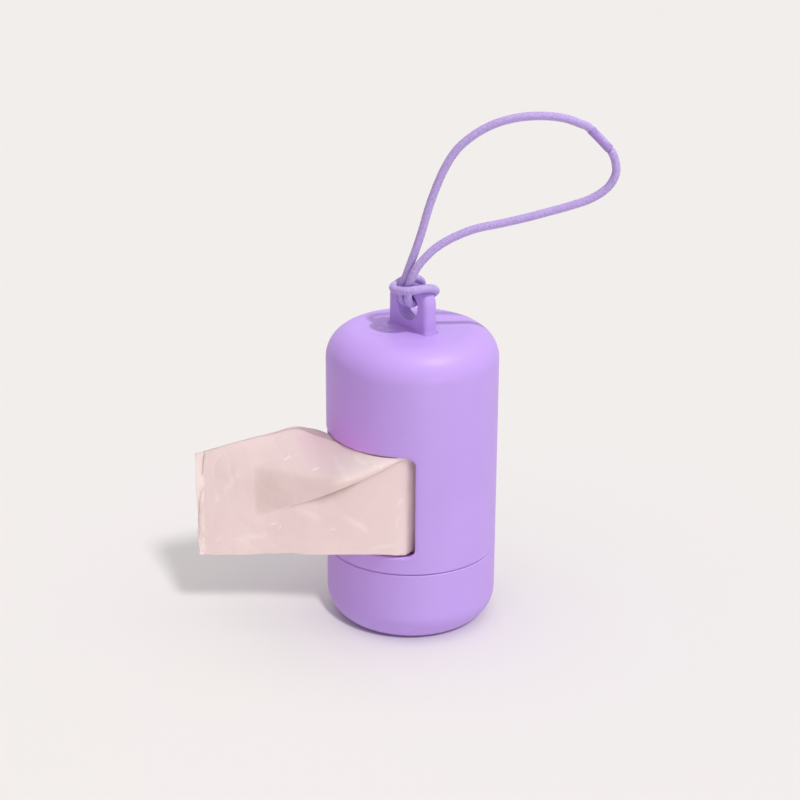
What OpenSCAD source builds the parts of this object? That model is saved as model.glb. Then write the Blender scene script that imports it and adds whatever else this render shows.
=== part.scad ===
/* [Body] */
// Outer diameter of the body and the cap
body_d = 42; // [40:0.5:46]
// Height from the base to the flat top of the body
body_h = 75.4; // [73:0.2:84]
// Thickness of the side walls
wall = 2.6; // [2.2:0.1:3]
// Thickness of the top of the body
top_wall = 2.2; // [1.6:0.2:3.4]
// Radius of the rounded shoulder round the top
shoulder_r = 7.4; // [5:0.2:9]
// Height of the joint line between the body and the cap
seam_z = 19.3; // [17.5:0.1:20]
// Width of the fine gap that shows at the joint line
seam_gap = 0.15; // [0.1:0.05:0.4]
// Bevel on both edges of the joint line
seam_bevel = 0.25; // [0.1:0.05:0.5]

/* [Window] */
// Height of the window's lower edge above the base
sill_z = 24.2; // [23.8:0.1:28]
// Height of the window
window_h = 25.7; // [24.5:0.1:32]
// Width of the window, straight across
window_w = 31; // [27:0.5:32]
// Radius of the window's corners
window_corner = 2; // [1:0.25:4]

/* [Hanging lug] */
// Width of the lug
lug_w = 13.6; // [12:0.2:16]
// Thickness of the lug
lug_t = 4; // [3.6:0.2:5]
// Height of the lug above the top of the body
lug_h = 11.2; // [10.8:0.1:14]
// Radius of the lug's two upper corners
lug_corner = 4.2; // [3:0.2:5]
// Rounding along the lug's edges
lug_edge = 1.6; // [0.8:0.1:1.7]
// Diameter of the hole through the lug
eye_d = 7; // [6.4:0.1:7.4]
// Height of the hole's middle above the top of the body
eye_up = 6; // [5:0.1:6.4]
// Bevel round both rims of the hole
eye_bevel = 0.4; // [0.1:0.1:0.6]

/* [Cap] */
// Thickness of the cap's floor
cap_floor = 2.6; // [2:0.2:3.6]
// Radius of the rounded lower edge
foot_r = 7.4; // [5:0.2:8.2]
// Height of the neck that stands inside the body
neck_h = 3.4; // [2:0.2:4]
// Thickness of the neck
neck_t = 1.2; // [0.8:0.1:1.3]
// Clearance round the neck
neck_fit = 0.15; // [0.1:0.05:0.3]
// Height of the grip bead on the neck
bead_up = 1.7; // [1:0.1:2.4]
// How far the grip bead stands out
bead_out = 0.08; // [0.04:0.01:0.08]
// Radius of the grip bead's rounding
bead_r = 0.3; // [0.2:0.05:0.4]
// Height of the pad that the paper core stands on
pad_h = 0.8; // [0.6:0.2:2]
// Height of the pin that centres the paper core
pin_h = 6; // [4:0.5:12]

/* [Refill roll] */
// Diameter of the wound bags
roll_d = 31; // [24:0.5:31.5]
// Length of the wound bags
roll_len = 59; // [54:0.5:60]
// Outer diameter of the paper core
core_d = 15; // [13:0.5:18]
// Wall of the paper core
core_wall = 1.2; // [0.8:0.1:1.6]
// How far the core stands out at each end of the roll
core_proud = 0.5; // [0.2:0.1:1]
// Clearance between the roll and what it turns against
run_gap = 0.3; // [0.2:0.1:0.5]
// Clearance between the core and its centring pin
pin_fit = 0.4; // [0.2:0.1:0.8]

/* [Leading bag] */
// How far the leading bag reaches out, from the body's axis
bag_reach = 51.8; // [40:0.5:60]
// Height of the bag's free end
bag_end_h = 26.8; // [20:0.5:30]
// How far the bag rises above the window's upper edge
bag_crest = 3; // [1:0.5:6]
// How far the bag hangs below the window's lower edge
bag_sag = 1.6; // [0:0.2:4]
// Thickness of the gathered film in the window
bag_t = 1.9; // [1:0.1:1.9]
// Thickness of the loose film outside the window
bag_end_t = 3.4; // [2:0.2:5]
// Clearance between the film and the window's edges
film_gap = 0.4; // [0.3:0.1:1]

/* [Cord] */
// Diameter of the elastic cord
cord_d = 2; // [1.6:0.1:2]
// Length of the sleeve that joins the cord's two ends
sleeve_len = 6.4; // [4:0.2:6.6]
// Wall of the sleeve
sleeve_wall = 0.15; // [0.1:0.05:0.3]

/* [Hidden] */
$fn = 96;
lilac = [0.76, 0.64, 0.93];
film_pink = [0.93, 0.82, 0.81];
paper_brown = [0.72, 0.60, 0.46];

body_r = body_d / 2;
bore_r = body_r - wall;
neck_r = bore_r + neck_t;
rebate_r = neck_r + neck_fit;
rim_z = seam_z - seam_gap / 2;
shell_z = seam_z + seam_gap / 2;
neck_top = rim_z + neck_h;
window_top = sill_z + window_h;
reach_past = 1;
lug_foot = 1;
neck_root = 1;

roll_r = roll_d / 2;
core_r = core_d / 2;
core_bore_r = core_r - core_wall;
pad_top = cap_floor + pad_h;
core_z = pad_top + run_gap;
core_len = roll_len + 2 * core_proud;
roll_z = core_z + core_proud;
pin_r = core_bore_r - pin_fit;
pin_bevel = 0.6;
wound_gap = 0.05;

// The film leaves the roll at this turn from the window's middle, and runs straight out
exit_turn = 46;
film_slack = 0.2;
film_back = -roll_r - run_gap - film_slack;
film_front = film_back - bag_t;
film_start = 0.8;
film_low = sill_z + film_gap;
film_high = window_top - film_gap;
crest_u = -27;
function past_crest(share) = crest_u - share * (bag_reach + crest_u);
// Ribs of the leading bag, from the roll outwards: where they stand along the film
rib_places = [film_start, -2.6, -7, -12, -17.5, 0.5 - body_r, crest_u,
    past_crest(0.28), past_crest(0.6), -bag_reach];
// How far the front stands out past film_front at each rib: lower edge, panel, fold, ridge, upper edge
low_out = [0, 2.5, 2.3, 1.7, 1.1, 0.8, 0.1, -0.3, -0.6, -0.7];
panel_out = [0.1, 0.3, 0.3, 0.2, 0, -0.1, -0.3, -0.4, -0.6, -0.8];
fold_out = [0.3, 1.3, 2.1, 2.3, 1.9, 1.5, 0.7, 0.1, -0.3, -0.8];
ridge_out = [0.2, 1.5, 2.4, 2.8, 3, 2.9, 2.1, 1, -0.1, -1];
high_out = [0, 1.5, 1.4, -1.3, -7.3, -9.6, -7.9, -5.3, -3.4, -2.1];
// How far the fold and the ridge lie below the upper edge of the film in the window
fold_drop = [1.3, 1.3, 3, 5.4, 8.2, 9.9, 12.7, 15.7, 17.5, 19.5];
ridge_drop = [0.6, 0.6, 1.5, 3.5, 4.7, 4.9, 5.3, 5.4, 5.3, 9.5];
fold_step = 0.4;
// Shares of the sag below the window and of the crest above it, up to the rib before the free end
sag_share = [0, 0, 0, 0.2, 0.4, 0.5, 0.7, 0.85, 0.95, 1];
crest_share = [0, 0, 0, 0, 0, 0, 1, 0.85, 0.47];
full_sag = bag_sag + film_gap;
full_crest = bag_crest + film_gap;

eye_z = body_h + eye_up;
cord_sides = 8;
sleeve_clear = 0.05;
// Route of the free loop: across, into the picture, and above the eye of the lug
loop_route = [
    [-1.9, -2.4, 7], [-0.6, -2.7, 10.9], [0.9, -2.9, 15.3], [2.3, -3, 20], [3.6, -3, 24.8],
    [5.3, -3, 29.8], [7.3, -3, 34.5], [10, -3, 38.8], [13.8, -3, 42.2], [18.4, -3, 44.8],
    [23.5, -3, 46.3], [28.8, -3, 46.8], [34, -3, 46.4], [38.4, -3, 45], [40.6, -3, 43.8],
    [45.3, -3, 39], [46.8, -3, 35.5], [46.7, -3, 32.6], [44.8, -3, 29.6], [41.2, -3.1, 27.2],
    [36.5, -3.2, 25.5], [31, -3.3, 23.9], [25.5, -3.4, 22.4], [20, -3.5, 21.1],
    [14.6, -3.6, 19.9], [9.6, -3.8, 17.9], [5.4, -4.2, 15.4], [2.3, -4.6, 12.4],
    [0.4, -4.7, 9.6], [-0.6, -4.4, 7]];
sleeve_from = 14;
// Route of the hitch round the lug: from one strand of the loop to the other, above the eye
hitch_route = [
    [-0.25, -3.2, 5.2], [-0.6, -3.2, 3.3], [-0.75, -2.9, 1.7], [-0.75, -1.8, 0.7], [-0.7, -0.2, 0.6],
    [-0.6, 1.4, 1.1], [-0.4, 2.7, 2.2], [-0.2, 3.15, 3.8], [0, 2.7, 5.05], [-0.2, 1.5, 5.95],
    [-0.8, 0.2, 6.25], [-1.5, -1, 6.1], [-2.1, -2, 5.6], [-2.3, -3.2, 5.1], [-2, -4.6, 4.8],
    [-0.7, -5.4, 4.75], [1.1, -5.6, 4.9], [3.1, -5.3, 5.2], [4.6, -4.2, 5.5], [5.5, -2.5, 5.6],
    [5.8, -0.8, 5.5], [5.7, 0.7, 5.1], [5.3, 2, 4.5], [4.8, 2.9, 3.8], [4, 3.15, 3.1],
    [3.1, 3.1, 2.6], [2.2, 2.7, 2.1], [1.7, 1.6, 1.6], [1.5, 0, 1.1], [1.45, -1.7, 0.8],
    [1.5, -2.8, 1.5], [1.6, -3.2, 3], [1.8, -3.3, 5]];

function unit(v) = v / norm(v);
function turned(p, a) = [p[0] * cos(a) - p[1] * sin(a), p[0] * sin(a) + p[1] * cos(a), p[2]];
function turned_all(points) = [for (p = points) turned(p, exit_turn)];
function raised(route) = [for (p = route) [p[0], p[1], p[2] + eye_z]];
loop_points = raised(turned_all(loop_route));
hitch_points = concat([loop_points[0]], raised(hitch_route), [loop_points[len(loop_points) - 1]]);

// Direction of a route at point i; both ends stand upright, where the pieces meet
function heading(route, i, first, last) =
    i == 0 ? first : i == len(route) - 1 ? last : unit(route[i + 1] - route[i - 1]);
function flat_to(side, dir) = unit(side - (side * dir) * dir);
// Side vectors carried along the route without twisting
function sides_along(dirs) = [for (
    i = 0, side = flat_to([1, 0.1, 0], dirs[0]);
    i < len(dirs);
    side = i + 1 < len(dirs) ? flat_to(side, dirs[i + 1]) : side, i = i + 1) side];

module rounded_block(w, h, r) {
    translate([r, 0])
        square([w - 2 * r, h]);
    translate([0, r])
        square([w, h - 2 * r]);
    for (x = [r, w - r], y = [r, h - r])
        translate([x, y])
            circle(r);
}

// Half section of a can whose upper rim is rounded
module can_section(r, h, edge_r) {
    square([r - edge_r, h]);
    square([r, h - edge_r]);
    translate([r - edge_r, h - edge_r])
        circle(edge_r);
}

// Half section of a ring-shaped corner that is taken off at radius r and height z
module corner_cut(r, z, size) {
    translate([r, z])
        rotate(45)
            square(size * sqrt(2), center = true);
}

module body_shell() {
    color(lilac)
        difference() {
            rotate_extrude()
                difference() {
                    can_section(body_r, body_h, shoulder_r);
                    square([body_r + reach_past, shell_z]);
                    can_section(bore_r, body_h - top_wall, shoulder_r - wall);
                    square([rebate_r, neck_top + neck_fit]);
                    corner_cut(body_r, shell_z, seam_bevel);
                }
            rotate([90, 0, 0])
                linear_extrude(body_r + reach_past)
                    translate([-window_w / 2, sill_z])
                        rounded_block(window_w, window_h, window_corner);
        }
}

module lug_blank() {
    arc_r = lug_corner - lug_edge;
    skin = lug_t / 2 - lug_edge;
    hull()
        for (side = [-1, 1], face = [-1, 1]) {
            translate([side * (lug_w / 2 - lug_edge), face * skin, body_h])
                cylinder(r = lug_edge, h = lug_foot, $fn = 32);
            for (a = [0 : 22.5 : 90])
                translate([
                    side * (lug_w / 2 - lug_corner + arc_r * cos(a)),
                    face * skin,
                    body_h + lug_h - lug_corner + arc_r * sin(a)])
                    sphere(r = lug_edge, $fn = 32);
        }
}

module hang_lug() {
    color(lilac)
        difference() {
            lug_blank();
            translate([0, 0, eye_z])
                rotate([90, 0, 0])
                    cylinder(d = eye_d, h = lug_t + 2 * reach_past, center = true);
            for (face = [-1, 1])
                translate([0, face * lug_t / 2, eye_z])
                    rotate([face * -90, 0, 0])
                        translate([0, 0, -eye_bevel])
                            cylinder(d1 = eye_d, d2 = eye_d + 4 * eye_bevel, h = 2 * eye_bevel);
        }
}

module base_cap() {
    color(lilac)
        rotate_extrude() {
            difference() {
                translate([0, rim_z])
                    mirror([0, 1])
                        can_section(body_r, rim_z, foot_r);
                translate([0, rim_z + reach_past])
                    mirror([0, 1])
                        can_section(bore_r, rim_z + reach_past - cap_floor, foot_r - wall);
                corner_cut(body_r, rim_z, seam_bevel);
            }
            translate([bore_r, rim_z - neck_root])
                square([neck_t, neck_h + neck_root]);
            translate([neck_r + bead_out - bead_r, rim_z + bead_up])
                circle(bead_r);
            square([core_r, pad_top]);
            square([pin_r - pin_bevel, pad_top + pin_h]);
            square([pin_r, pad_top + pin_h - pin_bevel]);
            translate([pin_r - pin_bevel, pad_top + pin_h - pin_bevel])
                circle(pin_bevel);
        }
}

module tube(outer_r, inner_r, z, h) {
    translate([0, 0, z])
        difference() {
            cylinder(r = outer_r, h = h);
            translate([0, 0, -reach_past])
                cylinder(r = inner_r, h = h + 2 * reach_past);
        }
}

module roll_core() {
    color(paper_brown)
        tube(core_r, core_bore_r, core_z, core_len);
}

module bag_roll() {
    color(film_pink)
        tube(roll_r, core_r + wound_gap, roll_z, roll_len);
}

// Outline of the leading bag across rib i: up its front, over the fold, and down its back
function bag_rib(i) =
    let (
        low = film_low - sag_share[i] * full_sag,
        high = i < len(crest_share) ? film_high + crest_share[i] * full_crest : low + bag_end_h,
        fold = film_high - fold_drop[i],
        ridge = film_high - ridge_drop[i],
        loose = i == 0 ? bag_t : bag_end_t)
    [for (p = [
        [low_out[i], low],
        [panel_out[i], fold - fold_step],
        [fold_out[i], fold],
        [ridge_out[i], ridge],
        [high_out[i], high],
        [high_out[i] - bag_t, high],
        [ridge_out[i] - loose, ridge],
        [panel_out[i] - bag_t, fold - fold_step],
        [min(low_out[i], 0) - bag_t, low + film_gap]])
        [rib_places[i], film_front - p[0], p[1]]];

module lead_bag() {
    ribs = [for (i = [0 : len(rib_places) - 1]) turned_all(bag_rib(i))];
    color(film_pink)
        skinned(ribs);
}

// Solid between rings of points that all have the same number of points
module skinned(rings) {
    n = len(rings);
    m = len(rings[0]);
    skin = [for (i = [0 : n - 2], k = [0 : m - 1], half = [0, 1])
        let (
            a = i * m + k,
            b = i * m + (k + 1) % m,
            c = a + m,
            d = b + m)
            half == 0 ? [a, c, b] : [b, c, d]];
    first_end = [for (k = [0 : m - 1]) k];
    last_end = [for (k = [m - 1 : -1 : 0]) (n - 1) * m + k];
    polyhedron([for (ring = rings) each ring], concat(skin, [first_end], [last_end]));
}

module swept_cord(route, first, last) {
    n = len(route);
    dirs = [for (i = [0 : n - 1]) heading(route, i, first, last)];
    sides = sides_along(dirs);
    skinned([for (i = [0 : n - 1]) [for (k = [0 : cord_sides - 1])
        let (a = 360 * k / cord_sides)
            route[i] + cord_d / 2 * (cos(a) * sides[i] + sin(a) * cross(dirs[i], sides[i]))]]);
}

module cord_loop() {
    color(lilac)
        swept_cord(loop_points, [0, 0, 1], [0, 0, -1]);
}

module cord_hitch() {
    color(lilac)
        swept_cord(hitch_points, [0, 0, -1], [0, 0, 1]);
}

module cord_sleeve() {
    from = loop_points[sleeve_from];
    to = loop_points[sleeve_from + 1];
    dir = unit(to - from);
    color(lilac)
        translate((from + to) / 2)
            rotate([0, acos(dir[2]), atan2(dir[1], dir[0])])
                tube(cord_d / 2 + sleeve_clear + sleeve_wall, cord_d / 2 + sleeve_clear,
                    -sleeve_len / 2, sleeve_len);
}

body_shell();
hang_lug();
base_cap();
roll_core();
bag_roll();
lead_bag();
cord_loop();
cord_hitch();
cord_sleeve();
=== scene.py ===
"""Looks of a dog poop bag dispenser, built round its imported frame.

Places are in millimetres and turned into metres by MM. Two frames are used: the row frame of the part, and the
film's own frame, in which u runs to the right along the film, v away from the viewer and z up.
"""

import math

import bmesh
import bpy
import numpy as np
from mathutils import Matrix, Vector, noise


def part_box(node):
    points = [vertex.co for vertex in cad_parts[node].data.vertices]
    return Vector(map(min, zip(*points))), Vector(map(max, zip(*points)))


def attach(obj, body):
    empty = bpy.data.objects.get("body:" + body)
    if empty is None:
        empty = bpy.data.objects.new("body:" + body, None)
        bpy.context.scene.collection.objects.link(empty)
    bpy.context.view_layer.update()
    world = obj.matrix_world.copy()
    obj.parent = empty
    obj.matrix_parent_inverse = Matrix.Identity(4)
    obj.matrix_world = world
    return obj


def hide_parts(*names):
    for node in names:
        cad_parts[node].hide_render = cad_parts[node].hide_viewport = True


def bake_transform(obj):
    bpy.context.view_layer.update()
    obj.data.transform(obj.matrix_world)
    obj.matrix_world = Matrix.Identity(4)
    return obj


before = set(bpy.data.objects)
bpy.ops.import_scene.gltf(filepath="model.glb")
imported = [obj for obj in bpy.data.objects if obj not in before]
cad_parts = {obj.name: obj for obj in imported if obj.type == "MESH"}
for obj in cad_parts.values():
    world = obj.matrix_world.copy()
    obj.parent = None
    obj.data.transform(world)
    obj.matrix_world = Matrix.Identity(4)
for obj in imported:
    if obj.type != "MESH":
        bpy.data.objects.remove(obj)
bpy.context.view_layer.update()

MM = 0.001
EXIT_TURN = math.radians(46)

# Camera, fitted to the photographed outlines
CAMERA_AT = Vector((330.46, -318.06, 238.83)) * MM
CAMERA_AZIMUTH = math.radians(46.464)
CAMERA_ELEVATION = math.radians(21.672)
CAMERA_ROLL = math.radians(0.285)
CAMERA_LENS = 90.97
CAMERA_SENSOR = 36
CAMERA_CLIP = (0.01, 20)

# Distant lamps: the direction that the light comes from in the film's frame, its spread in degrees, its strength
# and its colour. The key's direction is read from the shadows of cord and hitch on the dome, and the floor light's
# from the film's shadow on the floor. The front fill stands for light that the floor throws up, and the side fill
# for light from the left. FILM_BACK shines through the film from behind, and FILM_KEY is the film's own key.
KEY = ((0.43, -0.26, 1.0), 2.5, 1.9, (1, 1, 1))
FRONT_FILL = ((0.48, -1.0, 0.0), 40, 0.85, (1, 1, 1))
SIDE_FILL = ((-1.0, 0.1, 0.3), 60, 0.26, (1, 0.05, 0.75))
FILM_BACK = ((0.1, 0.93, 0.37), 50, 0.9, (1, 1, 1))
FILM_KEY = ((0.25, -0.9, 1.0), 12, 0.55, (1, 1, 1))
FLOOR_LIGHT = ((0.37, -1.05, 1.0), 6.5, 1.65, (1, 1, 1))
# Light that the film throws back on the body: place in the film's frame and radius, in mm, watts and colour
FILM_GLOW = ((-24.0, -23.0, 41.0), 5.0, 0.0028, (1, 0.03, 0.5))
# Sky: its strength overhead and at the horizon, its colour, and the plain backdrop that the camera sees instead
SKY_OVERHEAD, SKY_HORIZON = 1.4, 0.0
SKY_COLOUR = (1.0, 0.985, 1.0, 1.0)
BACKDROP = (0.88, 0.86, 0.84, 1.0)

# Sizes that the frame gives
body_low, body_high = (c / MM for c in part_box("body_shell"))
lug_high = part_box("hang_lug")[1] / MM
roll_low, roll_high = (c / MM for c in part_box("bag_roll"))
BODY_R = body_high.x
BODY_TOP = body_high.z
ROLL_R = roll_high.x

# Parts of the body and the lug that the frame's boxes don't give
WALL = 2.6
BORE_R = BODY_R - WALL
TOP_WALL = 2.2
SHOULDER_R = 7.4
STRAIGHT_TO = 60.0
SEAM_BEVEL = 0.25
RECESS_R = 19.75
RECESS_TOP = 22.775
RECESS_BEVEL = 0.1
WINDOW_LOW, WINDOW_HIGH = 23.9, 49.9
WINDOW_HALF = 15.5
WINDOW_CORNER = 2.0
EYE_UP = 6.0
EYE_R = 3.5


def turned(u, v, z):
    """A point of the film's frame, in mm, as a point of the row frame, in mm."""
    c, s = math.cos(EXIT_TURN), math.sin(EXIT_TURN)
    return (u * c - v * s, u * s + v * c, z)


def turned_all(points):
    """The same for an array of points."""
    return np.stack(turned(points[..., 0], points[..., 1], points[..., 2]), axis=-1)


# Camera
def make_camera():
    a, e, r = CAMERA_AZIMUTH, CAMERA_ELEVATION, CAMERA_ROLL
    look = Vector((-math.sin(a) * math.cos(e), math.cos(a) * math.cos(e), -math.sin(e)))
    level = Vector((math.cos(a), math.sin(a), 0))
    upright = level.cross(look)
    right = level * math.cos(r) + upright * math.sin(r)
    up = upright * math.cos(r) - level * math.sin(r)
    data = bpy.data.cameras.new("camera")
    data.lens = CAMERA_LENS
    data.sensor_width = CAMERA_SENSOR
    data.clip_start, data.clip_end = CAMERA_CLIP
    camera = bpy.data.objects.new("camera", data)
    turn = Matrix((right, up, -look)).transposed()
    camera.matrix_world = Matrix.Translation(CAMERA_AT) @ turn.to_4x4()
    bpy.context.scene.collection.objects.link(camera)
    bpy.context.scene.camera = camera


make_camera()


# Mesh helpers
def link_mesh(name, verts, faces, smooth=True):
    """A mesh object from points in mm."""
    mesh = bpy.data.meshes.new(name)
    mesh.from_pydata([tuple(x * MM for x in p) for p in verts], [], faces)
    mesh.validate()
    if smooth:
        mesh.shade_smooth()
    obj = bpy.data.objects.new(name, mesh)
    bpy.context.scene.collection.objects.link(obj)
    return obj


def grid_faces(rows, columns, closed_rows=False, closed_columns=False):
    """Faces of a grid of points listed row by row."""
    faces = []
    for i in range(rows if closed_rows else rows - 1):
        here, above = i * columns, (i + 1) % rows * columns
        for j in range(columns if closed_columns else columns - 1):
            k = (j + 1) % columns
            faces.append((here + j, here + k, above + k, above + j))
    return faces


def catmull_rom(a, b, c, d, t):
    """Places between b and c on a smooth line that also passes a and d."""
    return 0.5 * (2 * b + (c - a) * t + (2 * a - 5 * b + 4 * c - d) * t**2 + (3 * b - a - 3 * c + d) * t**3)


def noise_at(x, y, z):
    return noise.noise(Vector((x, y, z)))


def outward(obj):
    """Turns the faces of a closed mesh outward."""
    b = bmesh.new()
    b.from_mesh(obj.data)
    bmesh.ops.recalc_face_normals(b, faces=b.faces)
    b.to_mesh(obj.data)
    b.free()
    return obj


def flowing(knots, at):
    """Smooth values through knots, a list of (place, value, ...) sorted by place, at an array of places."""
    k = np.array(knots, float)
    x, y = k[:, 0], k[:, 1:]
    slope = np.gradient(y, x, axis=0)
    i = np.clip(np.searchsorted(x, at) - 1, 0, len(x) - 2)
    h = (x[i + 1] - x[i])[:, None]
    t = np.clip((at - x[i])[:, None] / h, 0, 1)
    a = (2 * t**3 - 3 * t**2 + 1) * y[i] + (t**3 - 2 * t**2 + t) * h * slope[i]
    return a + (3 * t**2 - 2 * t**3) * y[i + 1] + (t**3 - t**2) * h * slope[i + 1]


# Cord: its route is the one of part.scad, above the eye of the lug, in mm
LOOP_ROUTE = [
    [-1.9, -2.4, 7], [-0.6, -2.7, 10.9], [0.9, -2.9, 15.3], [2.3, -3, 20], [3.6, -3, 24.8],
    [5.3, -3, 29.8], [7.3, -3, 34.5], [10, -3, 38.8], [13.8, -3, 42.2], [18.4, -3, 44.8],
    [23.5, -3, 46.3], [28.8, -3, 46.8], [34, -3, 46.4], [38.4, -3, 45], [40.6, -3, 43.8],
    [45.3, -3, 39], [46.8, -3, 35.5], [46.7, -3, 32.6], [44.8, -3, 29.6], [41.2, -3.1, 27.2],
    [36.5, -3.2, 25.5], [31, -3.3, 23.9], [25.5, -3.4, 22.4], [20, -3.5, 21.1],
    [14.6, -3.6, 19.9], [9.6, -3.8, 17.9], [5.4, -4.2, 15.4], [2.3, -4.6, 12.4],
    [0.4, -4.7, 9.6], [-0.6, -4.4, 7]]
HITCH_ROUTE = [
    [-0.25, -3.2, 5.2], [-0.6, -3.2, 3.3], [-0.75, -2.9, 1.7], [-0.75, -1.8, 0.7], [-0.7, -0.2, 0.6],
    [-0.6, 1.4, 1.1], [-0.4, 2.7, 2.2], [-0.2, 3.15, 3.8], [0, 2.7, 5.05], [-0.2, 1.5, 5.95],
    [-0.8, 0.2, 6.25], [-1.5, -1, 6.1], [-2.1, -2, 5.6], [-2.3, -3.2, 5.1], [-2, -4.6, 4.8],
    [-0.7, -5.4, 4.75], [1.1, -5.6, 4.9], [3.1, -5.3, 5.2], [4.6, -4.2, 5.5], [5.5, -2.5, 5.6],
    [5.8, -0.8, 5.5], [5.7, 0.7, 5.1], [5.3, 2, 4.5], [4.8, 2.9, 3.8], [4, 3.15, 3.1],
    [3.1, 3.1, 2.6], [2.2, 2.7, 2.1], [1.7, 1.6, 1.6], [1.5, 0, 1.1], [1.45, -1.7, 0.8],
    [1.5, -2.8, 1.5], [1.6, -3.2, 3], [1.8, -3.3, 5]]
CORD_D = 2.0
CORD_AROUND = 32
CORD_STEP = 0.16
LINE_FINE = 24
BRAID_STRANDS = 8
BRAID_LAY = 3.4
BRAID_HEIGHT = 0.035
# The sleeve sits round the middle of the step of LOOP_ROUTE that starts at SLEEVE_FROM, and presses a groove into
# the cord just beyond its lower end
SLEEVE_FROM = 14
SLEEVE_LENGTH = 6.4
SLEEVE_GAP, SLEEVE_WALL, SLEEVE_LIP = 0.01, 0.05, 0.02
SLEEVE_AROUND = 48
GROOVE_BEYOND, GROOVE_HALF, GROOVE_DEPTH = 0.12, 0.22, 0.3


def cord_route():
    """The whole cord: up the loop, down again and through the hitch, back to where it began."""
    eye_z = BODY_TOP + EYE_UP
    loop = [turned(u, v, z + eye_z) for u, v, z in LOOP_ROUTE]
    hitch = [(x, y, z + eye_z) for x, y, z in HITCH_ROUTE]
    return [hitch[0]] + loop + hitch[::-1]


def smooth_line(points, step):
    """A Catmull-Rom line through points, at even steps."""
    p = np.array(points, float)
    ends = np.vstack([2 * p[0] - p[1], p, 2 * p[-1] - p[-2]])
    if np.linalg.norm(p[0] - p[-1]) < 1e-6:
        ends = np.vstack([p[-2], p, p[1]])
    fine = []
    for i in range(len(p) - 1):
        t = np.linspace(0, 1, LINE_FINE, endpoint=False)[:, None]
        fine.append(catmull_rom(*ends[i:i + 4], t))
    fine = np.vstack(fine + [p[-1:]])
    along = np.concatenate([[0], np.cumsum(np.linalg.norm(np.diff(fine, axis=0), axis=1))])
    at = np.linspace(0, along[-1], int(along[-1] / step) + 1)
    return np.stack([np.interp(at, along, fine[:, k]) for k in range(3)], axis=1), at


def frames_along(line, closed=False):
    """Two side vectors at each point of a line, carried along without twisting."""
    d = np.gradient(line, axis=0)
    if closed:
        d[0] = d[-1] = line[1] - line[-2]
    d /= np.linalg.norm(d, axis=1)[:, None]
    side = np.zeros_like(line)
    s = np.cross(d[0], (0.1, 0.2, 1.0))
    for i, t in enumerate(d):
        s = s - (s @ t) * t
        s /= np.linalg.norm(s)
        side[i] = s
    other = np.cross(d, side)
    if closed:
        slip = math.atan2(side[0] @ other[-1], side[0] @ side[-1])
        a = slip * np.linspace(0, 1, len(line))[:, None]
        side, other = side * np.cos(a) + other * np.sin(a), other * np.cos(a) - side * np.sin(a)
    return side, other


def braid_bump(around, along):
    """Height of a fine braid: two families of strands wind round the cord and pass over each other."""
    a = BRAID_STRANDS * around
    b = 2 * math.pi * along / BRAID_LAY * BRAID_STRANDS / 2
    left, right = np.cos(a + b), np.cos(a - b)
    over = np.cos((a + b) / 2) * np.cos((a - b) / 2)
    return np.where(over > 0, left, right)


def sleeve_line():
    """The middle of the sleeve and the direction in which it points, towards its lower end."""
    a, b = (np.array(turned(*LOOP_ROUTE[SLEEVE_FROM + k])) + (0, 0, BODY_TOP + EYE_UP) for k in (0, 1))
    return (a + b) / 2, (b - a) / np.linalg.norm(b - a)


def make_cord():
    line, along = smooth_line(cord_route(), CORD_STEP)
    side, other = frames_along(line, closed=True)
    turns = round(along[-1] / BRAID_LAY)
    around = np.linspace(0, 2 * math.pi, CORD_AROUND, endpoint=False)
    height = braid_bump(around[None, :], along[:, None] * turns * BRAID_LAY / along[-1])
    middle, way = sleeve_line()
    from_groove = np.linalg.norm(line - middle - way * (SLEEVE_LENGTH / 2 + GROOVE_BEYOND), axis=1)
    groove = GROOVE_DEPTH * np.exp(-(from_groove / GROOVE_HALF)**2)
    radius = CORD_D / 2 - BRAID_HEIGHT + BRAID_HEIGHT * height - groove[:, None]
    ring = side[:, None] * np.cos(around)[:, None] + other[:, None] * np.sin(around)[:, None]
    verts = (line[:, None] + radius[..., None] * ring).reshape(-1, 3)
    faces = grid_faces(len(line), CORD_AROUND, closed_columns=True)
    last = len(verts) - CORD_AROUND
    faces += [tuple(range(CORD_AROUND)), tuple(last + k for k in reversed(range(CORD_AROUND)))]
    cord = outward(link_mesh("cord_elastic", verts, faces))
    return cord, line * MM, float(along[-1]) * MM


def make_sleeve():
    """The short sleeve over the joined ends: a thin tube with a rolled lip at each end and a slight waist."""
    middle, way = (Vector(p) for p in sleeve_line())
    inner = CORD_D / 2 + SLEEVE_GAP
    outer = inner + SLEEVE_WALL
    # One end as (distance from the sleeve's end, radius), from the inside round to the waist
    end = [(0, inner), (-0.05, outer - 0.05), (0.1, outer + SLEEVE_LIP * 0.6), (0.35, outer + SLEEVE_LIP * 0.5),
           (0.6, outer), (2.0, outer - 0.03)]
    half = SLEEVE_LENGTH / 2
    section = [(x - half, r) for x, r in end] + [(half - x, r) for x, r in reversed(end)]
    turn = way.to_track_quat("Z", "Y").to_matrix()
    verts = []
    for x, r in section:
        for k in range(SLEEVE_AROUND):
            t = 2 * math.pi * k / SLEEVE_AROUND
            verts.append(middle + turn @ Vector((r * math.cos(t), r * math.sin(t), x)))
    faces = grid_faces(len(section), SLEEVE_AROUND, closed_rows=True, closed_columns=True)
    return outward(link_mesh("cord_joining_sleeve", verts, faces))


cord, cord_path, cord_length = make_cord()
sleeve = make_sleeve()


# Body moulding: a lathe with a window, whose edges are rounded
COLUMNS = 192
PATCH_COLUMNS = 72
PATCH_ROWS = 60
PATCH_HALF = math.radians(66)
PATCH_LOW, PATCH_HIGH = 22.95, 52.0
EDGE_ROUND = 0.8
INNER_ROUND = 0.2
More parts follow.
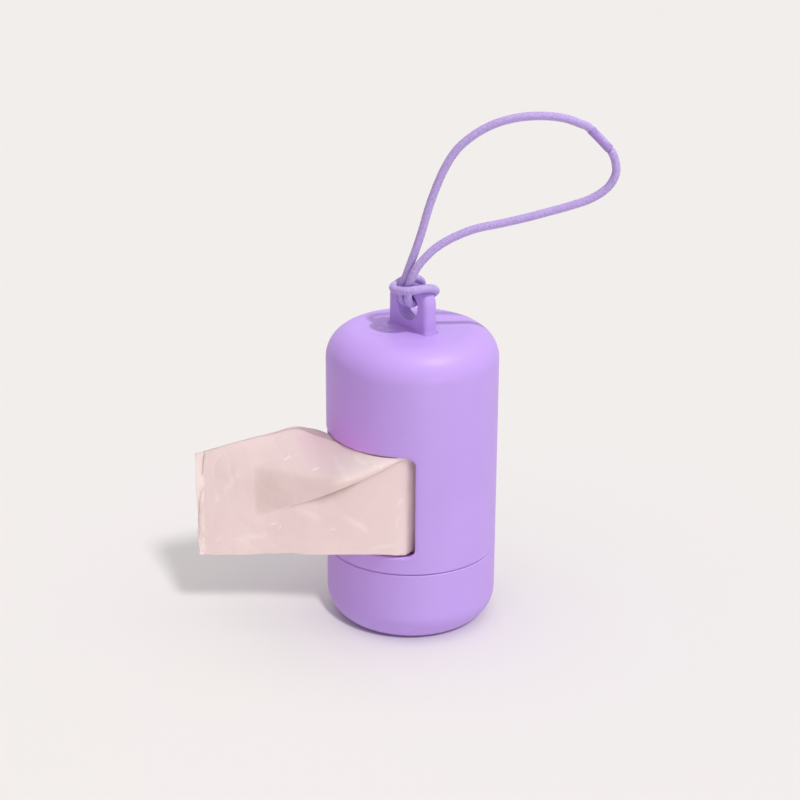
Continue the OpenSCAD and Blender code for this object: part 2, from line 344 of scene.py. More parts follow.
# Rows of points round the window: shares of the way from its rounded edge to the patch's border
OUTER_SHARES = (0.72, 0.45, 0.22, 0.06)
INNER_SHARES = (0.1, 0.5)
# Radii of the rings that divide the top, outside and inside
TOP_RINGS, CEILING_RINGS = (13.0, 8.5, 4.0), (4.0, 9.0)


def arc(cx, cz, r, start, end, n):
    """Points (radius, height) on an arc, angles in degrees from the outward direction."""
    return [(cx + r * math.cos(math.radians(start + (end - start) * k / n)),
             cz + r * math.sin(math.radians(start + (end - start) * k / n))) for k in range(n + 1)]


def column_angles():
    """Angles round the body from the window's middle: the patch first, then the rest."""
    inside = np.linspace(-PATCH_HALF, PATCH_HALF, PATCH_COLUMNS + 1)
    rest = np.linspace(PATCH_HALF, 2 * math.pi - PATCH_HALF, COLUMNS - PATCH_COLUMNS + 1)
    return np.concatenate([inside, rest[1:-1]])


def shell_sections():
    """Sections of the body as (radius, height): the outer wall up to the top's middle, and the inner wall down from
    it to the lower rim. Also the place in each of the first row of the window's patch."""
    low = body_low.z
    rows = list(np.linspace(PATCH_LOW, PATCH_HIGH, PATCH_ROWS + 1))
    rim = arc(BODY_R - SEAM_BEVEL, low + SEAM_BEVEL, SEAM_BEVEL, -90, 0, 4)
    outer = rim + [(BODY_R, low + 0.6)] + [(BODY_R, z) for z in rows] + [(BODY_R, STRAIGHT_TO)]
    outer += arc(BODY_R - SHOULDER_R, BODY_TOP - SHOULDER_R, SHOULDER_R, 0, 90, 20)
    outer += [(r, BODY_TOP) for r in TOP_RINGS]
    inner_r, inner_top = SHOULDER_R - WALL, BODY_TOP - TOP_WALL
    inner = [(r, inner_top) for r in CEILING_RINGS]
    inner += arc(BORE_R - inner_r, inner_top - inner_r, inner_r, 90, 0, 10) + [(BORE_R, STRAIGHT_TO)]
    first_outer, first_inner = len(rim) + 1, len(inner)
    inner += [(BORE_R, z) for z in reversed(rows)]
    bevel = RECESS_BEVEL
    inner += [(BORE_R, RECESS_TOP + bevel), (BORE_R + bevel, RECESS_TOP), (RECESS_R - bevel / 2, RECESS_TOP)]
    inner += [(RECESS_R, RECESS_TOP - bevel), (RECESS_R, low + bevel * 1.5), (RECESS_R + bevel, low)]
    return outer, inner, first_outer, first_inner


def window_ring(which, share):
    """A point and outward normal of the window's outline, in its plane, for a place on the patch's border: which
    side, counter-clockwise from the lower one, and the share of the way along it."""
    half_w, half_h, r = WINDOW_HALF, (WINDOW_HIGH - WINDOW_LOW) / 2, WINDOW_CORNER
    straight = 2 * ((half_w if which % 2 == 0 else half_h) - r)
    quarter = math.pi * r / 4
    s = share * (straight + 2 * quarter)
    if s < quarter:
        t, at = -math.pi / 4 + s / r, -straight / 2
    elif s > straight + quarter:
        t, at = (s - straight - quarter) / r, straight / 2
    else:
        t, at = 0.0, -straight / 2 + s - quarter
    n = (math.sin(t), -math.cos(t))
    p = (at + r * n[0], r * n[1] - (half_h if which % 2 == 0 else half_w) + r)
    c, sn = math.cos(which * math.pi / 2), math.sin(which * math.pi / 2)
    middle = (WINDOW_LOW + WINDOW_HIGH) / 2
    return (p[0] * c - p[1] * sn, p[0] * sn + p[1] * c + middle), (n[0] * c - n[1] * sn, n[0] * sn + n[1] * c)


def on_wall(x, z, r):
    """The point of a round wall of radius r that lies in front of place x, z of the window's plane."""
    return (x, -math.sqrt(r * r - x * x), z)


def bent(a, b, c, t):
    """A point on the curve that leaves a towards b and ends at c."""
    return tuple((1 - t)**2 * p + 2 * t * (1 - t) * q + t * t * r for p, q, r in zip(a, b, c))


def between(p, q, s):
    """The point at share s of the way from p to q."""
    return tuple(a + (b - a) * s for a, b in zip(p, q))


def edge_chain(which, share, angle, height):
    """Points from the patch's border on the outer wall, at this angle and height, over the window's rounded edge
    and back towards the border on the inner wall, without the two points on the borders."""
    (x, z), (nx, nz) = window_ring(which, share)

    def spread_to(r, off, out):
        wx, wz = x + nx * off, z + nz * off
        a = math.asin(wx / r) * (1 - out) + angle * out
        return (r * math.sin(a), -r * math.cos(a), wz * (1 - out) + height * out)

    edge, back = on_wall(x, z, BODY_R), on_wall(x, z, BORE_R)
    into = (x, edge[1] + EDGE_ROUND, z)
    out_of = (x, back[1] - INNER_ROUND, z)
    points = [spread_to(BODY_R, EDGE_ROUND, s) for s in OUTER_SHARES]
    points += [bent(spread_to(BODY_R, EDGE_ROUND, 0), edge, into, t) for t in (0, 0.2, 0.4, 0.6, 0.8, 1)]
    points += [between(into, out_of, s) for s in (0.1, 0.9)]
    points += [bent(out_of, back, spread_to(BORE_R, INNER_ROUND, 0), t) for t in (0, 0.33, 0.67, 1)]
    return points + [spread_to(BORE_R, INNER_ROUND, s) for s in INNER_SHARES]


def make_shell():
    outer, inner, first_outer, first_inner = shell_sections()
    angles = column_angles()
    verts, faces, index = [], [], {}

    def vertex(key, p):
        if key not in index:
            index[key] = len(verts)
            verts.append(p)
        return index[key]

    def wall(tag, section, first):
        for i, (r, z) in enumerate(section):
            in_rows = first < i < first + PATCH_ROWS
            for j, a in enumerate(angles):
                if not (in_rows and 0 < j < PATCH_COLUMNS):
                    vertex((tag, i, j), (r * math.sin(a), -r * math.cos(a), z))
        for i in range(len(section) - 1):
            in_rows = first <= i < first + PATCH_ROWS
            for j in range(COLUMNS):
                if not (in_rows and j < PATCH_COLUMNS):
                    k = (j + 1) % COLUMNS
                    faces.append((index[tag, i, j], index[tag, i, k], index[tag, i + 1, k], index[tag, i + 1, j]))

    wall("outer", outer, first_outer)
    wall("inner", inner, first_inner)
    for tag, section, at in (("outer", outer, len(outer) - 1), ("inner", inner, 0)):
        pole = vertex((tag, "pole"), (0, 0, section[at][1]))
        for j in range(COLUMNS):
            faces.append((index[tag, at, j], index[tag, at, (j + 1) % COLUMNS], pole))
    last = len(inner) - 1
    for j in range(COLUMNS):
        k = (j + 1) % COLUMNS
        faces.append((index["inner", last, j], index["inner", last, k], index["outer", 0, k], index["outer", 0, j]))

    # Places round the patch's border: the window's side, the share along it, and the border's row and column
    places = [(0, j / PATCH_COLUMNS, 0, j) for j in range(PATCH_COLUMNS)]
    places += [(1, i / PATCH_ROWS, i, PATCH_COLUMNS) for i in range(PATCH_ROWS)]
    places += [(2, j / PATCH_COLUMNS, PATCH_ROWS, PATCH_COLUMNS - j) for j in range(PATCH_COLUMNS)]
    places += [(3, i / PATCH_ROWS, PATCH_ROWS - i, 0) for i in range(PATCH_ROWS)]
    loops = []
    for which, share, i, j in places:
        points = edge_chain(which, share, angles[j], outer[first_outer + i][1])
        chain = [index["outer", first_outer + i, j]]
        chain += [vertex(("patch", which, share, n), p) for n, p in enumerate(points)]
        loops.append(chain + [index["inner", first_inner + PATCH_ROWS - i, j]])
    for a, b in zip(loops, loops[1:] + loops[:1]):
        for n in range(len(a) - 1):
            faces.append((a[n], a[n + 1], b[n + 1], b[n]))
    return outward(link_mesh("body_moulding", verts, faces))


shell = make_shell()


# Hanging lug: a ring of sections round its eye, with rounded rims and a flared foot
LUG_AROUND = 128
LUG_CORNER = 4.2
LUG_EDGE = 1.6
LUG_FOOT = 0.55
LUG_SINK = 0.6
EYE_RIM = 0.35
RIM_STEP, EDGE_STEP = 18, 10
FLAT_SHARES = (0, 0.25, 0.5, 0.75, 0.96)
# The foot's flare is full beyond these shares of the lug's half width and half thickness
FLARE_FULL = (0.6, 0.5)
TINY = 1e-9


def lug_outline(angle):
    """Where a ray from the eye's middle meets the lug's outline, in the lug's plane."""
    half, top = lug_high.x, lug_high.z - BODY_TOP - EYE_UP
    dx, dz = math.cos(angle), math.sin(angle)
    end = top if dz > 0 else EYE_UP + LUG_SINK
    reach = min(half / max(abs(dx), TINY), end / max(abs(dz), TINY))
    x, z = dx * reach, dz * reach
    cx, cz = half - LUG_CORNER, top - LUG_CORNER
    if abs(x) > cx and z > cz:
        b = abs(dx) * cx + dz * cz
        reach = b + math.sqrt(max(b * b - cx * cx - cz * cz + LUG_CORNER**2, 0))
    return reach


def make_lug():
    half_t = lug_high.y
    eye = Vector((0, 0, BODY_TOP + EYE_UP))
    verts = []
    for k in range(LUG_AROUND):
        angle = 2 * math.pi * k / LUG_AROUND
        away = Vector((math.cos(angle), 0, math.sin(angle)))
        reach = lug_outline(angle)
        section = []
        for a in range(0, 91, RIM_STEP):
            t = math.radians(a)
            section.append((EYE_R + EYE_RIM * (1 - math.cos(t)), half_t - EYE_RIM * (1 - math.sin(t))))
        inner_end, outer_end = EYE_R + EYE_RIM + 0.15, reach - LUG_EDGE
        section += [(inner_end + (outer_end - inner_end) * s, half_t) for s in FLAT_SHARES]
        for a in range(0, 91, EDGE_STEP):
            t = math.radians(a)
            section.append((outer_end + LUG_EDGE * math.sin(t), half_t - LUG_EDGE * (1 - math.cos(t))))
        ring = section + [(r, -y) for r, y in reversed(section)]
        for r, y in ring:
            p = eye + away * r
            p.y = y
            up = (p.z - BODY_TOP) / LUG_FOOT
            if up < 1:
                flare = LUG_FOOT * (1 - math.sqrt(max(0, 1 - (1 - max(up, 0))**2)))
                p.x += math.copysign(flare, p.x) * min(1, abs(p.x) / (lug_high.x * FLARE_FULL[0]))
                p.y += math.copysign(flare, p.y) * min(1, abs(p.y) / (half_t * FLARE_FULL[1]))
            verts.append(p)
    per_ring = len(verts) // LUG_AROUND
    faces = grid_faces(LUG_AROUND, per_ring, closed_rows=True, closed_columns=True)
    return outward(link_mesh("hanging_lug", verts, faces))


lug = make_lug()


# Leading bag: one folded sheet. Each guide line runs from the torn end to the roll, as (u, v, z) in mm: the sheet's
# low fold, its front panel, the fold on the panel, the ridge above that, and its high edge. The other three give, at
# places u, how much higher the back layer ends, its gap to the front and how far up the tuck under the fold reaches.
LOW = [(-51.8, -17.2, 22.6), (-42, -17.3, 22.7), (-34, -17.6, 22.9), (-27, -18, 23.2), (-20.5, -18.7, 23.6),
       (-12, -19.6, 24.2), (-7, -20.2, 24.5), (-2.6, -20.5, 24.5), (-1, -20, 24.5), (0.4, -18.4, 24.5),
       (4, -16.8, 23.6), (12, -10.4, 20)]
PANEL = [(-51.8, -17.1, 29), (-34, -17.4, 33), (-20.5, -17.8, 39), (-12, -18, 43.8), (-7, -18.1, 46),
         (-1.2, -18.2, 48), (0.4, -18, 48), (4, -16.9, 48), (12, -10.5, 45)]
FOLD = [(-51.8, -17.1, 30), (-42, -17.6, 31.6), (-34, -18, 33.8), (-27, -18.7, 36.8), (-22.5, -19.3, 38.7),
        (-17.4, -19.8, 41.3), (-12, -20.2, 44), (-7, -20, 46.5), (-2.6, -19.3, 48.6), (0.8, -17.9, 48.6),
        (4, -16.9, 48.6), (12, -10.5, 46)]
RIDGE = [(-51.8, -16.9, 40), (-42, -17.8, 44), (-34, -18.9, 44.1), (-27, -20, 44.2), (-20.5, -20.8, 44.6),
         (-17.5, -20.9, 45), (-12, -20.7, 46.2), (-7, -20.3, 48), (-2.6, -19.5, 49), (0.8, -18, 49),
         (4, -16.9, 49.5), (12, -10.5, 52)]
HIGH = [(-51.8, -15.8, 49), (-49.2, -15.7, 49.6), (-42, -14.5, 51.1), (-34, -12.5, 52.4), (-27, -10, 52.8),
        (-23.4, -9, 50.9), (-20.5, -8.3, 49.6), (-17.5, -10.6, 49.55), (-12, -16.6, 49.6), (-7, -19.3, 49.6),
        (-2.6, -19.5, 49.6), (0.8, -18, 49.6), (4, -17, 51), (12, -10.6, 60)]
BACK_RISE = [(-51.8, -0.5), (-42, -0.4), (-30, -0.3), (-26, 0), (-23, 0.7), (-20.5, 0.5), (-17.5, -0.2), (12, -0.2)]
PLY_GAP = [(-51.8, 0.12), (-46, 0.7), (-38, 1.3), (-27, 1.7), (-12, 1.6), (0.8, 1.5), (12, 0.3)]
TUCK = [(-51.8, 0), (-27, 0), (-24.5, 0.6), (-22.5, 2), (-17.4, 3.6), (-12, 3.6), (-5.2, 1.4), (-2.6, 0.2), (12, 0)]
FILM_END, FILM_START = -51.3, 12.0
FILM_FOOT, FILM_TALL = 22.6, 27
# The torn end leans by these lengths in mm from foot to top. The lean starts at place SLANT_FROM.
FRONT_SLANT, BACK_SLANT = 2.1, -0.35
SLANT_FROM, SLANT_OVER = -38, 13.3
FILM_COLUMNS = 320
FILM_THICK = 0.05
# Heights in mm of the noise that crumples the film, and of the teeth of its torn end
DENT, FOLD_RISE, FACET, CRINKLE, TOOTH = 0.5, 0.2, 0.13, 0.05, 0.22
# Lightness of the film's colour, 0 to 1: plain, and the painted shade and painted light that each zone of film_tone
# adds
TONE_PLAIN = 0.54
TONE_FOLD_SHADE, TONE_CREVICE_SHADE, TONE_LINING_SHADE, TONE_INSIDE_SHADE = -0.15, -0.45, -0.35, -0.2
TONE_BACK_END_LIGHT, TONE_WINDOW_LIGHT, TONE_CREASE_GLINT = 0.3, 0.35, 0.5
# A crease of this height gets the full painted glint
FULL_GLINT_RISE = 0.2
# Pressed creases and soft dents, which catch the light and also get a painted glint: place u, z, half length, turn
# in degrees, half width, height
CREASES = [(-29.6, 48, 0.8, 20, 0.16, 0.2), (-28.6, 48.1, 0.5, -40, 0.15, 0.2), (-22.8, 46, 0.8, 10, 0.16, 0.2),
           (-7.6, 47.6, 1, -15, 0.16, 0.18), (-10.5, 47.9, 0.8, 5, 0.16, 0.18), (-49.8, 38, 1.4, 86, 0.2, 0.2),
           (-33, 31.2, 1.1, 12, 0.16, 0.2), (-31.4, 30.5, 0.6, 60, 0.15, 0.15), (-18.7, 30.3, 0.8, 4, 0.16, 0.2),
           (-6.5, 26.5, 3, 14, 0.5, 0.07), (-2.6, 38, 1.2, 60, 0.4, 0.08), (-3.2, 33, 2, 80, 0.35, 0.06),
           (-13, 32, 3.5, -32, 0.8, 0.08), (-46.4, 37.8, 1.2, 70, 0.6, 0.08), (-50, 31.5, 2.6, 88, 0.3, 0.1),
           (-38, 27.6, 4, 10, 0.9, 0.06), (-17, 46.6, 2.4, -34, 0.6, 0.06), (-11.5, 48.2, 2, -10, 0.35, 0.12),
           (-24, 34, 3.2, -26, 0.8, 0.06), (-42.5, 42.5, 3.4, 52, 0.8, 0.06)]


def eased(x, a, b):
    """0 before a, 1 after b and smooth between them."""
    t = np.clip((x - a) / (b - a), 0, 1)
    return t * t * (3 - 2 * t)


def strand(points, counts):
    """Smooth line across the sheet through points (arrays of v, z for every column), with counts steps between."""
    p = [2 * points[0] - points[1]] + list(points) + [2 * points[-1] - points[-2]]
    rows = []
    for i, n in enumerate(counts):
        rows += [catmull_rom(*p[i:i + 4], t) for t in np.linspace(0, 1, n, endpoint=False)]
    return rows


# Steps across the sheet from each guide line that its rows pass to the next, and the places of some of the lines
STEPS = (22, 12, 26, 4, 4, 18, 42, 8, 8, 22, 40)
LOWER, UNDER, FOLDED, RIDGED = 5, 7, 9, 10


def sheet_rows(u):
    """Rows of the sheet as (v, z) at places u: down its back, round below, up the panel, round the tuck and up to
    the high edge. Also the place of each row across the sheet, counted in guide lines, and the fold's height."""
    low, panel, fold, ridge, high = (flowing(g, u) for g in (LOW, PANEL, FOLD, RIDGE, HIGH))
    gap, tuck, rise = (flowing(g, u)[:, 0] for g in (PLY_GAP, TUCK, BACK_RISE))
    behind = np.stack([gap, np.zeros_like(u)], axis=1)
    back_high = high + behind + np.stack([0.2 + 0 * u, rise], axis=1)
    back_ridge = ridge + 1.7 * behind
    back_low = np.stack([np.maximum(low[:, 0], panel[:, 0] - 0.6), low[:, 1] + 0.3], axis=1) + 0.8 * behind
    folded = eased(u, -40, -30)
    inward = np.minimum(panel[:, 0], fold[:, 0] + 0.3 + 0.35 * tuck)
    under = np.stack([fold[:, 0] + (inward - fold[:, 0]) * folded, fold[:, 1] + tuck - 0.8 * (1 - folded)], axis=1)
    flare = np.stack([low[:, 0] * 0.35 + under[:, 0] * 0.65, low[:, 1] * 0.72 + under[:, 1] * 0.28], axis=1)
    rows = strand([back_high, back_ridge, panel + behind, back_low], STEPS[:3])
    rows += strand([back_low, (back_low + low) / 2 - (0, 0.12), low], STEPS[3:5])
    rows += strand([low, flare, under], STEPS[5:7])
    rows += strand([under, (under + fold) / 2, fold], STEPS[7:9])
    rows += strand([fold, ridge, high], STEPS[9:])
    rows.append(high)
    across = np.concatenate([k + np.arange(n) / n for k, n in enumerate(STEPS)] + [[len(STEPS)]])
    return np.stack(rows), across, fold[:, 1]


def crumple(u, z):
    """Soft dents, a few sharper folds, facets and fine crinkles, in mm."""
    dents = noise_at(u * 0.1, z * 0.12, 1.7)
    folds = 1 - 2.4 * abs(noise_at(u * 0.13 + 0.06 * z, z * 0.16, 9.3))
    facets = noise_at(u * 0.33, z * 0.29, 5.1)
    crinkles = 1 - 2 * abs(noise_at(u * 0.7, z * 0.55, 3.3))
    return DENT * dents + FOLD_RISE * max(folds, 0)**3 + FACET * facets + CRINKLE * max(crinkles, 0)**3


def pressed(u, z):
    """Height in mm of the small creases, and the share of painted glint that each place gets from them."""
    height, share = np.zeros_like(u), np.zeros_like(u)
    for cu, cz, length, turn, width, rise in CREASES:
        c, sn = math.cos(math.radians(turn)), math.sin(math.radians(turn))
        along, beside = (u - cu) * c + (z - cz) * sn, (z - cz) * c - (u - cu) * sn
        one = np.exp(-(beside / width)**2 - (along / length)**4)
        height, share = height + rise * one, np.maximum(share, one * rise / FULL_GLINT_RISE)
    return height, share


def film_tone(u, z, across, fold_z):
    """How light the film's colour is, 0 to 1, with painted shade and painted light in it: painted shade on the
    flap's lower part, which faces down, in the narrow gap under the fold, on the back layer's inner face and inside
    the body, and painted light on the back layer at the torn end and on the flap close to the window."""
    # Painted shade on the flap's lower part, between the fold and the ridge, where it faces down
    upper = RIDGED + 0.22 - 0.24 * eased(u, -38, -16)
    fold_shade = eased(across, FOLDED, FOLDED + 0.12) * (1 - eased(across, upper - 0.12, upper + 0.12))
    fold_shade = fold_shade * eased(u, -38, -36.6) * (1 - eased(u, -20, -14.5))
    # Painted shade in the narrow gap under the fold, where the fold shades the panel
    below = fold_z[None, :] - z
    reach = 0.5 + 1.4 * eased(u, -26, -20) * (1 - eased(u, -17, -11))
    crevice_shade = np.exp(-(below / reach)**2) * (across > LOWER) * (across < UNDER)
    crevice_shade *= eased(u, -30, -20) * (1 - 0.5 * eased(u, -12, -5))
    # Painted shade on the back layer's inner face, which shows above the flap
    lining_shade = eased(u, -28.5, -26) * (1 - eased(u, -20, -18)) * (across < 0.7)
    # Painted shade on the film where it turns into the body behind the window's edge
    inside = eased(u, -1.6, -0.4)
    # Painted light on the back layer at the torn end, where the front layer shades it
    torn = 1 - eased(u, -50.4, -49.2)
    # Painted light on the flap close to the window
    window_light = eased(u, -20, -12) * (1 - eased(u, -4, -2)) * eased(across, FOLDED + 0.2, RIDGED)
    return (TONE_PLAIN + TONE_FOLD_SHADE * fold_shade + TONE_CREVICE_SHADE * crevice_shade + TONE_LINING_SHADE * lining_shade
            + TONE_INSIDE_SHADE * inside + TONE_BACK_END_LIGHT * torn * (across < LOWER) + TONE_WINDOW_LIGHT * window_light)


def keep_tone(obj, tone):
    """Stores the tone of each point of a mesh, which the film's material reads."""
    obj.data.attributes.new("tone", "FLOAT", "POINT").data.foreach_set("value", tone.astype(np.float32))


def make_film():
    u = np.linspace(FILM_END, FILM_START, FILM_COLUMNS)
    rows, across, fold_z = sheet_rows(u)
    count = len(rows)
    across = across[:, None]
    front = across >= LOWER
    points = np.empty((count, FILM_COLUMNS, 3))
    points[..., 0] = u
    points[..., 1:] = rows
    height = np.clip((points[..., 2] - FILM_FOOT) / FILM_TALL, 0, 1.1)
    slant = np.where(front, FRONT_SLANT * height**2.2, BACK_SLANT * height)
    near_end = np.clip((SLANT_FROM - u) / SLANT_OVER, 0, 1)**2
    for i in range(count):
        ragged = 0.16 * noise_at(i * 0.23, 4, 0.5) + 0.12 * noise_at(i * 0.9, 1, 2.5)
        points[i, :, 0] += (slant[i] + ragged) * near_end
    along_u, along_t = np.gradient(points, axis=1), np.gradient(points, axis=0)
    normal = np.cross(along_u, along_t)
    normal /= np.maximum(np.linalg.norm(normal, axis=2), 1e-9)[..., None]
    # The film crumples freely beyond the body, less where it lies in front of it and least inside
    free = 0.3 + 0.7 * np.clip((-18 - points[..., 0]) / 12, 0, 1)
    free *= np.clip((2 - points[..., 0]) / 6, 0.1, 1)
    lift = np.array([[crumple(p[0] + (0 if front[i] else 5), p[2]) for p in row] for i, row in enumerate(points)])
    torn = np.clip((-49.6 - points[..., 0]) / 1.2, 0, 1)
    teeth = np.array([[noise_at(p[0] * 2.2, p[2] * 1.9, 7) for p in row] for row in points])
    crease, crease_glint = pressed(points[..., 0], points[..., 2])
    # The creases' painted glints lighten the front layer's colour
    tone = film_tone(points[..., 0], points[..., 2], across, fold_z) + TONE_CREASE_GLINT * crease_glint * front
    points -= normal * (lift * free + TOOTH * torn * teeth + crease * front)[..., None]
    film = link_mesh("leading_bag_film", turned_all(points).reshape(-1, 3), grid_faces(count, FILM_COLUMNS))
    keep_tone(film, tone.ravel())
    thick = film.modifiers.new("film thickness", "SOLIDIFY")
    thick.thickness = FILM_THICK * MM
    thick.offset = 0
    return film


film = make_film()


# Wound bags: a spiral of film layers that shows at both ends, and soft dents round it
WIND_PITCH = 0.62
WIND_AROUND = 160
WIND_STEPS = 5
WIND_HEIGHTS = 60
WOUND_TONE = 0.45
CORE_R = 7.55
# How far the layers' ends, the side's ends, the outermost layer's edge and the side stand back from the frame's box
END_BACK, SIDE_END_BACK, EDGE_BACK, SIDE_BACK = 0.35, 0.6, 0.3, 0.12


def wound_end(r, angle):
    """How far the ends of the layers stand back at a radius and angle."""
    turn = r / WIND_PITCH - angle / (2 * math.pi)
    ridge = 0.5 + 0.5 * math.cos(2 * math.pi * turn)
    return 0.28 * ridge + 0.12 * noise_at(math.floor(turn) * 3.7, math.cos(angle), math.sin(angle))


def make_roll():
    rings = int((ROLL_R - CORE_R) / WIND_PITCH * WIND_STEPS)
    radii = [CORE_R + (ROLL_R - EDGE_BACK - CORE_R) * k / rings for k in range(rings + 1)]
    heights = np.linspace(roll_high.z - SIDE_END_BACK, roll_low.z + SIDE_END_BACK, WIND_HEIGHTS)
    verts = []
    for k in range(WIND_AROUND):
        a = 2 * math.pi * k / WIND_AROUND
        section = [(r, roll_high.z - END_BACK + wound_end(r, a)) for r in radii]
        for z in heights:
            dent = 0.16 * noise_at(math.cos(a) * 2.4, math.sin(a) * 2.4, z * 0.07)
            crease = 0.1 * abs(noise_at(math.cos(a) * 5, math.sin(a) * 5, z * 0.02 + 4))
            section.append((ROLL_R - SIDE_BACK + dent - crease, z))
        section += [(r, roll_low.z + END_BACK - wound_end(r, a)) for r in reversed(radii)]
        verts += [(r * math.cos(a), r * math.sin(a), z) for r, z in section]
    faces = grid_faces(WIND_AROUND, len(verts) // WIND_AROUND, closed_rows=True, closed_columns=True)
    roll = outward(link_mesh("wound_bags", verts, faces))
    keep_tone(roll, np.full(len(verts), WOUND_TONE))
    return roll


roll = make_roll()


# Materials
def srgb(r, g, b):
    """Linear colour from 0..255 values as they look on a screen."""
    def one(c):
        c /= 255
        return c / 12.92 if c <= 0.04045 else ((c + 0.055) / 1.055)**2.4
    return (one(r), one(g), one(b), 1.0)


class Look:
    """A new material, or the node tree of the world, with short ways to add and join its nodes."""

    def __init__(self, name=None, tree=None):
        if name:
            self.material = bpy.data.materials.new(name)
            self.material.use_nodes = True
            tree = self.material.node_tree
            self.shader = tree.nodes["Principled BSDF"]
            self.place = tree.nodes.new("ShaderNodeTexCoord").outputs["Object"]
        self.nodes, self.join = tree.nodes, tree.links.new

    def add(self, kind, **settings):
        node = self.nodes.new("ShaderNode" + kind)
        for name, value in settings.items():
            setattr(node, name, value)
        return node

    def reckon(self, operation, a, b):
        """An operation of arithmetic on two values, each a socket or a number."""
        node = self.add("Math", operation=operation)
        for socket, value in zip(node.inputs, (a, b)):
            if isinstance(value, (int, float)):
                socket.default_value = value
            else:
                self.join(value, socket)
        return node.outputs[0]

    def noise(self, scale, detail=2.0):
        node = self.add("TexNoise")
        node.inputs["Scale"].default_value = scale
        node.inputs["Detail"].default_value = detail
        self.join(self.place, node.inputs["Vector"])
        return node.outputs["Fac"]

    def spread(self, value, low, high):
        """A value of 0 to 1 spread from low to high."""
        node = self.add("MapRange")
        node.inputs["To Min"].default_value, node.inputs["To Max"].default_value = low, high
        self.join(value, node.inputs["Value"])
        return node.outputs["Result"]

    def colour(self, value, low, high, start=0.35, end=0.65):
        """Base colour that runs from low to high as value runs from start to end."""
        node = self.add("ValToRGB")
        ends = node.color_ramp.elements
        ends[0].position, ends[1].position = start, end
        ends[0].color, ends[1].color = srgb(*low), srgb(*high)
        self.join(value, node.inputs["Fac"])
        self.join(node.outputs["Color"], self.shader.inputs["Base Color"])
        return node.color_ramp

    def roughness(self, low, high, scale):
        self.join(self.spread(self.noise(scale), low, high), self.shader.inputs["Roughness"])

    def bump(self, value, strength, distance):
        node = self.add("Bump")
        node.inputs["Strength"].default_value = strength
        node.inputs["Distance"].default_value = distance
        self.join(value, node.inputs["Height"])
        self.join(node.outputs["Normal"], self.shader.inputs["Normal"])

    def set(self, name, value):
        self.shader.inputs[name].default_value = value


def plastic_material():
    look = Look("lilac_plastic")
    look.colour(look.noise(scale=38, detail=3), (184, 151, 225), (188, 155, 229))
    look.roughness(0.4, 0.5, scale=900)
    look.set("Specular IOR Level", 0.4)
    look.bump(look.noise(scale=5200), strength=0.12, distance=0.00003)
    return look.material


def film_material():
    """The film's tone, which carries its painted shade and painted light, softly clouded and facetted, gives the
    colour between deep, middle and light.
    """
    look = Look("bag_film")
    facets = look.add("TexVoronoi")
    facets.inputs["Scale"].default_value = 140
    look.join(look.place, facets.inputs["Vector"])
    clouds = look.spread(look.noise(scale=70, detail=4), -0.12, 0.12)
    unrest = look.reckon("ADD", clouds, look.spread(facets.outputs["Color"], -0.03, 0.03))
    tone = look.add("Attribute", attribute_name="tone")
    shade = look.reckon("ADD", tone.outputs["Fac"], unrest)
    # The deep end of these colours gives the painted shade and the light end gives the painted light
    steps = look.colour(shade, (188, 164, 160), (250, 232, 228), start=0.0, end=1.0)
    steps.elements.new(0.5).color = srgb(235, 211, 209)
    look.roughness(0.36, 0.55, scale=300)
    look.set("Specular IOR Level", 0.35)
    look.bump(look.noise(scale=420, detail=5), strength=0.25, distance=0.0002)
    return look.material


def paper_material():
    look = Look("core_paper")
    fibre = look.noise(scale=1600, detail=4)
    look.colour(fibre, (168, 132, 92), (192, 158, 118))
    look.set("Roughness", 0.85)
    look.bump(fibre, strength=0.3, distance=0.0001)
    return look.material


def cord_material():
    look = Look("cord_fabric")
    yarn = look.noise(scale=2600, detail=3)
    look.colour(yarn, (166, 144, 204), (190, 168, 224))
    look.set("Roughness", 0.7)
    look.set("Sheen Weight", 0.25)
    look.bump(yarn, strength=0.35, distance=0.00006)
    return look.material


def sleeve_material():
    look = Look("cord_sleeve")
    look.colour(look.noise(scale=400, detail=3), (158, 130, 196), (166, 138, 204))
    look.roughness(0.45, 0.6, scale=900)
    look.bump(look.noise(scale=3000), strength=0.15, distance=0.00003)
    return look.material


plastic, film_look, paper, fabric = plastic_material(), film_material(), paper_material(), cord_material()
tube = sleeve_material()


def dress(obj, look):
    obj.data.materials.clear()
    obj.data.materials.append(look)


def dress_node(name, look):
    """A CAD node keeps its mesh and gets a material."""
    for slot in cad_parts[name].material_slots:
        slot.material = look


for obj, look in ((shell, plastic), (lug, plastic), (film, film_look), (roll, film_look), (cord, fabric),
                  (sleeve, tube)):
    dress(obj, look)
dress_node("base_cap", plastic)
dress_node("roll_core", paper)

# What rides where, what it stands for and what it is
for obj, body, node, slot in (
        (shell, "shell", "body_shell", "lilac_plastic"),
        (lug, "shell", "hang_lug", "lilac_plastic"),
        (roll, "roll", "bag_roll", "bag_film"),
        (sleeve, "shell", "cord_sleeve", "cord_fabric")):
    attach(obj, body)
    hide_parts(node)
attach(cord, "shell")
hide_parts("cord_loop", "cord_hitch")

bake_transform(film)
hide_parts("lead_bag")


# Stage
FLOOR_HALF = 3.0


def make_floor():
    corners = [(x * FLOOR_HALF / MM, y * FLOOR_HALF / MM, 0) for x, y in ((-1, -1), (1, -1), (1, 1), (-1, 1))]
    floor = link_mesh("floor", corners, [(0, 1, 2, 3)], smooth=False)
    look = Look("floor_paint")
    look.set("Base Color", srgb(237, 234, 231))
    look.set("Roughness", 0.9)
    look.set("Specular IOR Level", 0.1)
    dress(floor, look.material)
    return floor


def chosen(name, link_state, objects):
    """A collection that a lamp includes or excludes."""
    group = bpy.data.collections.new(name)
    for k, obj in enumerate(objects):
        group.objects.link(obj)
        group.collection_objects[k].light_linking.link_state = link_state
    return group


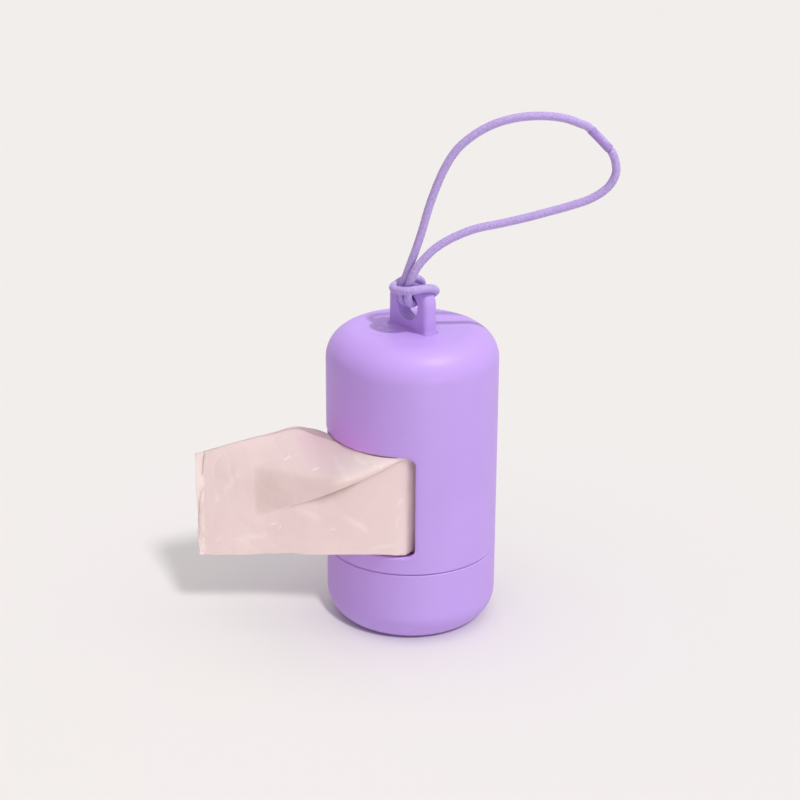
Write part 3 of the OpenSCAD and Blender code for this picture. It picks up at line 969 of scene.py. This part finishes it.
def make_lamp(name, kind, strength, colour, lights, blockers=None):
    """A lamp that lights the chosen objects, and whose light only the chosen blockers stop."""
    data = bpy.data.lights.new(name, kind)
    data.energy, data.color = strength, colour
    lamp = bpy.data.objects.new(name, data)
    bpy.context.scene.collection.objects.link(lamp)
    lamp.light_linking.receiver_collection = chosen(name + "_lights", *lights)
    if blockers:
        lamp.light_linking.blocker_collection = chosen(name + "_blockers", *blockers)
    return lamp


def make_sun(name, light, *linking):
    """A distant lamp."""
    source, spread, strength, colour = light
    lamp = make_lamp(name, "SUN", strength, colour, *linking)
    lamp.data.angle = math.radians(spread)
    lamp.rotation_mode = "QUATERNION"
    lamp.rotation_quaternion = Vector(turned(*source)).to_track_quat("Z", "Y")


def make_glow(name, glow, *linking):
    """A small soft lamp close to the object."""
    place, radius, watts, colour = glow
    lamp = make_lamp(name, "POINT", watts, colour, *linking)
    lamp.data.shadow_soft_size = radius * MM
    lamp.location = Vector(turned(*place)) * MM


def make_sky():
    """A sky that is bright overhead and dim near the horizon. The camera, reflections and rays that pass through
    something see a plain backdrop in its place."""
    world = bpy.data.worlds.new("world")
    world.use_nodes = True
    look = Look(tree=world.node_tree)
    height = look.add("SeparateXYZ")
    look.join(look.add("TexCoord").outputs["Generated"], height.inputs[0])
    steep = look.reckon("POWER", height.outputs["Z"], 2)
    sky, backdrop = look.nodes["Background"], look.add("Background")
    sky.inputs["Color"].default_value = SKY_COLOUR
    look.join(look.spread(steep, SKY_HORIZON, SKY_OVERHEAD), sky.inputs["Strength"])
    backdrop.inputs["Color"].default_value = BACKDROP
    ray, mixed = look.add("LightPath"), look.add("MixShader")
    sees_backdrop = ray.outputs["Is Camera Ray"]
    for kind in ("Is Glossy Ray", "Is Transmission Ray"):
        sees_backdrop = look.reckon("MAXIMUM", sees_backdrop, ray.outputs[kind])
    for source, socket in zip((sees_backdrop, sky.outputs[0], backdrop.outputs[0]), mixed.inputs):
        look.join(source, socket)
    look.join(mixed.outputs[0], look.nodes["World Output"].inputs["Surface"])
    bpy.context.scene.world = world


floor = make_floor()
ONLY, ALL_BUT = "INCLUDE", "EXCLUDE"
make_sun("key", KEY, (ALL_BUT, (floor, film)))
make_sun("front_fill", FRONT_FILL, (ALL_BUT, (floor,)), (ALL_BUT, (floor,)))
make_sun("side_fill", SIDE_FILL, (ALL_BUT, (floor, film)))
make_sun("film_back", FILM_BACK, (ONLY, (film,)))
make_sun("film_key", FILM_KEY, (ONLY, (film,)))
make_sun("floor_light", FLOOR_LIGHT, (ONLY, (floor,)), (ALL_BUT, (cord, sleeve)))
make_glow("film_glow", FILM_GLOW, (ALL_BUT, (floor, film, cord, sleeve, roll)), (ALL_BUT, (film,)))
make_sky()
bpy.context.scene.view_settings.view_transform = "Standard"
